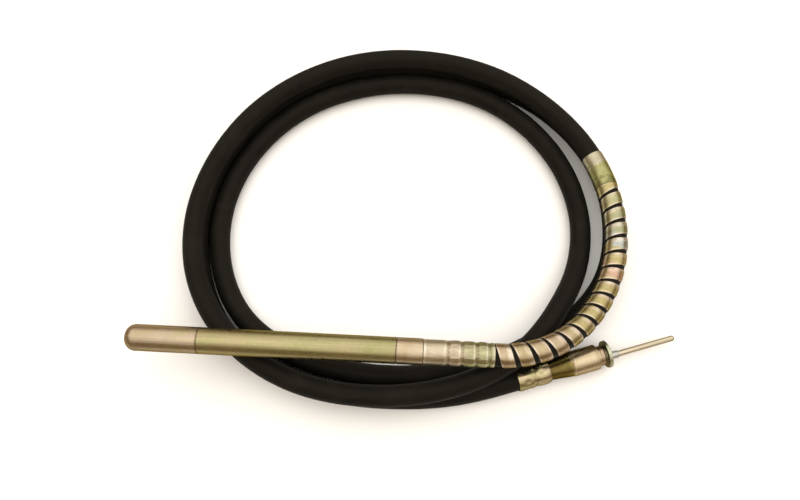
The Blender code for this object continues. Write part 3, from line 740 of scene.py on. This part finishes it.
# ---------------------------------------------------------------- hose and guard
def hose():
    """Rubber hose, a little uneven where it is free of its metal ends."""
    step = 0.0040
    head_grip = 0.11
    drive_grip = 0.062
    lengths = np.linspace(0.0, HOSE_LENGTH, int(HOSE_LENGTH / step) + 1)
    ripple = 1.0 + 0.003 * np.sin(lengths * 23.0) + 0.002 * np.sin(lengths * 61.0 + 1.0)
    in_metal = (lengths < head_grip) | (lengths > HOSE_LENGTH - drive_grip)
    radius = HOSE_R * np.where(in_metal, 1.0, 1.008 * ripple)
    outer_r = np.repeat(radius[:, None], 48, axis=1)
    return bent_tube("hose", lengths, outer_r, HOSE_BORE_R, hose_paint())


def spiral_guard():
    """A strip of steady width wound on the bend, so its gap opens on the outer side."""
    width = 0.0222
    per_turn = 72
    least = 0.0010
    lead_in = 0.0080
    crown = 0.00060
    first = GUARD_START - width / 2.0 + least + lead_in
    last = GUARD_STOP + width / 2.0 - least
    count = int((last - first) / GUARD_PITCH * per_turn) + 1
    middle = first + GUARD_PITCH * np.arange(count) / per_turn
    angle = -TAU * (middle - GUARD_PHASE) / GUARD_PITCH
    outer = GUARD_IN + GUARD_THICK - 0.0002
    edge_r = outer - crown - 0.0002
    section = [(-1.0, GUARD_IN), (-1.0, edge_r)]
    for w in (-0.985, -0.95, -0.88, -0.6, -0.3, 0.0, 0.3, 0.6, 0.88, 0.95, 0.985):
        section.append((w, outer - crown * abs(w) ** 6 - 0.0001 * w * w))
    section += [(1.0, edge_r), (1.0, GUARD_IN)]
    spread = 1.0 + np.interp(middle, RUN, TURN) * outer * np.cos(angle)
    columns = []
    for w, radius in section:
        edge = np.clip(middle + w * width / 2.0 / spread, GUARD_START, GUARD_STOP)
        centre, side, lift = frames(edge)
        around = side * np.cos(angle)[:, None] + lift * np.sin(angle)[:, None]
        columns.append(centre + around * radius)
    across = np.array([w for w, _ in section] + [section[0][0]]) * width / 2.0
    return grid_mesh("guard_strip", np.stack(columns, 1), strip_paint(), u=angle[:, None] / TAU,
                     v=middle[:, None] + across[None, :], caps=(0, count - 1), sharp=50.0)


def end_sleeve():
    """Thin tapered sleeve, pressed on the hose with a few round dents."""
    low = GUARD_STOP + 0.0005
    size = END_SLEEVE_STOP - low
    lengths = np.linspace(low, END_SLEEVE_STOP, 60)
    angle = ring_angles(96)
    share = (lengths - low) / size
    rounding = 0.03
    edge = (np.clip(1.0 - share / rounding, 0, 1) ** 2
            + np.clip((share - (1.0 - rounding)) / rounding, 0, 1) ** 2)
    radius = (0.0202 - 0.0008 * share - 0.0005 * edge)[:, None] + 0.0 * angle[None, :]
    spots = ((0.30, 1.75), (0.30, -0.35), (0.30, 3.85), (0.74, 1.15), (0.74, 2.60), (0.74, -1.5))
    for place, spot in spots:
        near = ((lengths[:, None] - low - place * size) / 0.0075) ** 2
        near = near + (turn_gap(angle[None, :], spot) / 0.42) ** 2
        radius = radius - 0.00075 * np.exp(-near)
    radius = np.maximum(radius, END_SLEEVE_IN + 0.0004)
    return bent_tube("end_sleeve", lengths, radius, END_SLEEVE_IN - 0.0001, end_sleeve_paint())


# ---------------------------------------------------------------- drive end
def ferrule_form(x, angle, r):
    """Round dents pressed in two rows, turned against each other."""
    floor_r = 0.0187
    rows = ((0.0155, 0.0), (0.0410, 0.5))
    per_row = 6
    dent = 0.0
    for station, turn in rows:
        for i in range(per_row):
            spot = TAU * (i + turn) / per_row + 0.056
            near = ((x - station) / 0.0062) ** 2 + (turn_gap(angle, spot) / 0.26) ** 2
            dent = dent + 0.0014 * np.exp(-near)
    return np.where(r > floor_r, np.maximum(r - dent, floor_r), r)


def drive_ferrule():
    """Ferrule with two bulges and a waist between them, pressed over the hose's end."""
    stop_r = 0.0160
    profile = [
        (FERRULE_END - FIT, 0.0186, 0.0006), (FERRULE_END - 0.0060, 0.0200, 0.003),
        (0.0440, 0.0206, 0.004), (0.0370, 0.0203, 0.003), (0.0325, 0.0189, 0.0015),
        (0.0295, 0.0189, 0.0015), (0.0250, 0.0204, 0.003), (0.0160, 0.0207, 0.004),
        (0.0060, 0.0205, 0.003), (0.0, 0.0197, 0.0008), (0.0, SLEEVE_BORE_R, 0.0002),
        (HOSE_STOP + FIT, SLEEVE_BORE_R, 0.0), (HOSE_STOP + FIT, stop_r, 0.0),
        (FERRULE_END - FIT, stop_r, 0.0002),
    ]
    return lathe("ferrule", profile, DRIVE_START, DRIVE_HEADING, ferrule_paint(),
                 segments=144, form=ferrule_form, step=0.0010)


def drive_body():
    """Cone and cylinder; two fine turned lines run near the cylinder's end."""
    line_r = BODY_R - 0.0004
    collar_r = 0.0165
    neck_r = 0.0160
    barb_room_r = 0.0131
    spindle_room_r = 0.0136
    lines = []
    for station in (0.1412, 0.1382):
        lines += [
            (station + 0.0005, BODY_R, 0.0001), (station + 0.0002, line_r, 0.0001),
            (station - 0.0002, line_r, 0.0001), (station - 0.0005, BODY_R, 0.0001),
        ]
    profile = [
        (COLLAR_END, collar_r, 0.0002), (BODY_END, collar_r, 0.0003),
        (BODY_END, BODY_R, 0.0010), *lines, (CONE_END + 0.0003, BODY_R, 0.0010),
        (CONE_END - 0.0006, BODY_R - 0.0008, 0.0006), (FERRULE_END + 0.0040, neck_r + 0.0004, 0.002),
        (FERRULE_END + FIT, neck_r, 0.0006), (FERRULE_END + FIT, barb_room_r, 0.0002),
        (NIPPLE_END + FIT, barb_room_r, 0.0), (NIPPLE_END + FIT, spindle_room_r, 0.0),
        (COLLAR_END, spindle_room_r, 0.0002),
    ]
    return lathe("coupling_body", profile, DRIVE_START, DRIVE_HEADING, drive_paint(),
                 segments=128)


def drive_flange():
    """Collar, latch groove and locating flange in one turned piece."""
    low = COLLAR_END + FIT
    collar_r = 0.0166
    groove_r = 0.0148
    bore = 0.0128
    profile = [
        (FLANGE_END, FLANGE_R, 0.0012), (GROOVE_END, FLANGE_R, 0.0010), (GROOVE_END, groove_r, 0.0006),
        (low + 0.0070, groove_r, 0.0006), (low + 0.0064, collar_r, 0.0005), (low, collar_r, 0.0006),
        (low, bore, 0.0002), (FLANGE_END, bore, 0.0008),
    ]
    return lathe("coupling_flange", profile, DRIVE_START, DRIVE_HEADING, flange_paint(),
                 segments=128)


def spindle_start():
    """The loose spindle lies low and to one side in the drive end."""
    left = Vector((-math.sin(DRIVE_HEADING), math.cos(DRIVE_HEADING), 0.0))
    return DRIVE_START + left * SPINDLE_SIDE - Vector((0.0, 0.0, SPINDLE_DROP))


def spindle_stub():
    """Grey stub that stands out of the flange."""
    low = CORE_END + FIT
    profile = [
        (STUB_END, AXIS_R, 0.0), (STUB_END, SPINDLE_R, 0.0008), (low, SPINDLE_R, 0.0002),
        (low, AXIS_R, 0.0),
    ]
    paint = steel_paint("stub_steel", (0.28, 0.27, 0.24), (0.50, 0.48, 0.43), (0.30, 0.48))
    return lathe("spindle_stub", profile, spindle_start(), DRIVE_HEADING, paint, closed=False)


def drive_rod():
    """Thin rod with a rounded tip, 1.8 mm short so that it stays in reach of the hose's line."""
    end = ROD_END - 0.0018
    low = STUB_END + FIT
    profile = [
        (end, AXIS_R, 0.0), (end, 0.0032, 0.0004), (end - 0.0015, 0.0044, 0.0006),
        (end - 0.0030, ROD_R, 0.0008), (low, ROD_R, 0.0004), (low, AXIS_R, 0.0),
    ]
    return lathe("rod", profile, spindle_start(), DRIVE_HEADING, rod_paint(), segments=64,
                 closed=False)


# ---------------------------------------------------------------- placing on the frame
def place_pieces():
    """Builds every visible piece, ties it to its CAD body and hides the CAD node it stands for."""
    rows = [
        (head_cap(), "vibrator", "head_tip_cap", "zinc_fittings"),
        (head_tube(), "vibrator", "head_tube", "zinc_tube"),
        (head_connector(), "vibrator", "head_connector", "zinc_fittings"),
        (crimp_sleeve(), "vibrator", "head_crimp_sleeve", "zinc_fittings"),
        (hose(), "vibrator", "rubber_hose", "hose_rubber"),
        (spiral_guard(), "vibrator", "spiral_guard", "guard_steel"),
        (end_sleeve(), "vibrator", "guard_end_sleeve", "zinc_fittings"),
        (drive_ferrule(), "vibrator", "drive_ferrule", "zinc_fittings"),
        (drive_body(), "vibrator", "drive_body", "zinc_fittings"),
        (drive_flange(), "vibrator", "drive_flange", "zinc_fittings"),
        (spindle_stub(), "spindle", "drive_spindle", "bright_steel"),
        (drive_rod(), "spindle", "drive_rod", "zinc_fittings"),
    ]
    made = {}
    for obj, body, node, slot in rows:
        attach(obj, body)
        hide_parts(node)
        made[obj.name] = obj
    return made


def paint_inner_nodes():
    """Inner pieces keep their CAD shape and get worked steel, wire and rubber finishes."""
    looks = {
        "bright": steel_paint("turned_steel", (0.42, 0.41, 0.39), (0.62, 0.61, 0.59), (0.22, 0.38)),
        "bearing": steel_paint("bearing_steel_look", (0.50, 0.50, 0.49), (0.66, 0.66, 0.65),
                               (0.10, 0.22)),
        "dark": steel_paint("oiled_steel", (0.10, 0.10, 0.095), (0.24, 0.235, 0.22), (0.30, 0.50)),
        "wire": wire_paint(),
        "seal": seal_paint(),
    }
    finish = {
        "bright": ("head_hose_nipple", "drive_nipple", "rotor_socket", "shaft_head_end"),
        "bearing": ("front_bearing_outer_race", "front_bearing_inner_race",
                    "rear_bearing_outer_race", "rear_bearing_inner_race"),
        "dark": ("front_bearing_ball_cage", "rear_bearing_ball_cage", "eccentric_rotor",
                 "front_retaining_ring", "rear_retaining_ring", "shaft_drive_crimp"),
        "seal": ("rear_oil_seal", "cap_o_ring", "connector_o_ring"),
        "wire": ("flexible_shaft",),
    }
    for look, names in finish.items():
        for name in names:
            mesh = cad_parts[name].data
            mesh.materials.clear()
            mesh.materials.append(looks[look])


made = place_pieces()
paint_inner_nodes()


# ---------------------------------------------------------------- floor, light and camera
def floor():
    """A pale sheet under the tool that fades to a browner floor further away."""
    half = 6.0
    cells = 12
    under = 0.0002
    line = np.linspace(-half, half, cells + 1)
    x, y = np.meshgrid(line, line, indexing="ij")
    grid = np.stack((x, y, 0.0 * x - under), -1)
    half_width = 1.05
    half_depth = 0.62
    middle_y = 0.15
    squareness = 4.0
    paint = Paint("pale_floor")
    axes = paint.axes()
    across = paint.math("ABSOLUTE", paint.math("DIVIDE", axes[0], half_width))
    deep = paint.math("DIVIDE", paint.math("SUBTRACT", axes[1], middle_y), half_depth)
    across = paint.math("POWER", across, squareness)
    deep = paint.math("POWER", paint.math("ABSOLUTE", deep), squareness)
    far = paint.math("POWER", paint.math("ADD", across, deep), 1.0 / squareness)
    grain = paint.noise(paint.place, 220.0, 3.0)
    tone = paint.ramp(paint.fit(far, 0.0, 2.0), [
        (0.0, (0.78, 0.755, 0.72)), (0.50, (0.78, 0.755, 0.72)), (0.64, (0.26, 0.21, 0.16)),
        (1.0, (0.20, 0.16, 0.12)),
    ])
    colour = paint.mix(paint.fit(grain, 0.3, 0.7, 0.0, 0.03), tone, (0.56, 0.54, 0.50))
    mat = paint.finish(colour, paint.fit(grain, 0.3, 0.7, 0.75, 0.85), 0.0, specular=0.1)
    obj = grid_mesh("floor", grid, mat, around=False)


def studio():
    """A wide soft ceiling of light over a dim horizon, brighter behind and to the right."""
    world = bpy.data.worlds.new("studio")
    bpy.context.scene.world = world
    world.use_nodes = True
    tree = world.node_tree
    coords = tree.nodes.new("ShaderNodeTexCoord")
    split = tree.nodes.new("ShaderNodeSeparateXYZ")
    tree.links.new(coords.outputs["Generated"], split.inputs[0])
    height = split.outputs["Z"]
    for axis, lean in (("Y", 0.1765), ("X", 0.10)):
        tilted = tree.nodes.new("ShaderNodeMath")
        tilted.operation = "MULTIPLY_ADD"
        tree.links.new(split.outputs[axis], tilted.inputs[0])
        tilted.inputs[1].default_value = lean
        tree.links.new(height, tilted.inputs[2])
        height = tilted.outputs[0]
    ramp = tree.nodes.new("ShaderNodeValToRGB")
    fill_ramp(ramp, [
        (0.0, (0.20, 0.150, 0.085)), (0.34, (0.22, 0.165, 0.095)), (0.58, (0.72, 0.69, 0.64)),
        (0.80, (0.92, 0.91, 0.89)), (1.0, (1.0, 0.995, 0.98)),
    ])
    tree.links.new(height, ramp.inputs["Fac"])
    back = tree.nodes["Background"]
    tree.links.new(ramp.outputs["Color"], back.inputs["Color"])
    back.inputs["Strength"].default_value = 2.40
    lamp = bpy.data.lights.new("softbox", "AREA")
    lamp.shape = "RECTANGLE"
    lamp.size = 2.6
    lamp.size_y = 1.8
    lamp.energy = 3.0
    lamp.color = (1.0, 0.985, 0.96)
    box = bpy.data.objects.new("softbox", lamp)
    box.location = (-0.3, -0.3, 2.4)
    box.rotation_euler = (math.radians(-8.0), math.radians(-6.0), 0.0)
    bpy.context.scene.collection.objects.link(box)


def camera():
    """The view from the front, 70 degrees down."""
    data = bpy.data.cameras.new("camera")
    data.sensor_width = 36.0
    data.lens = 32.4
    obj = bpy.data.objects.new("camera", data)
    obj.location = Vector((0.0, -0.4412, 1.2302)) - ORIGIN
    obj.rotation_euler = (math.radians(20.0), 0.0, 0.0)
    bpy.context.scene.collection.objects.link(obj)
    bpy.context.scene.camera = obj


floor()
studio()
camera()
bpy.context.scene.view_settings.view_transform = "Standard"
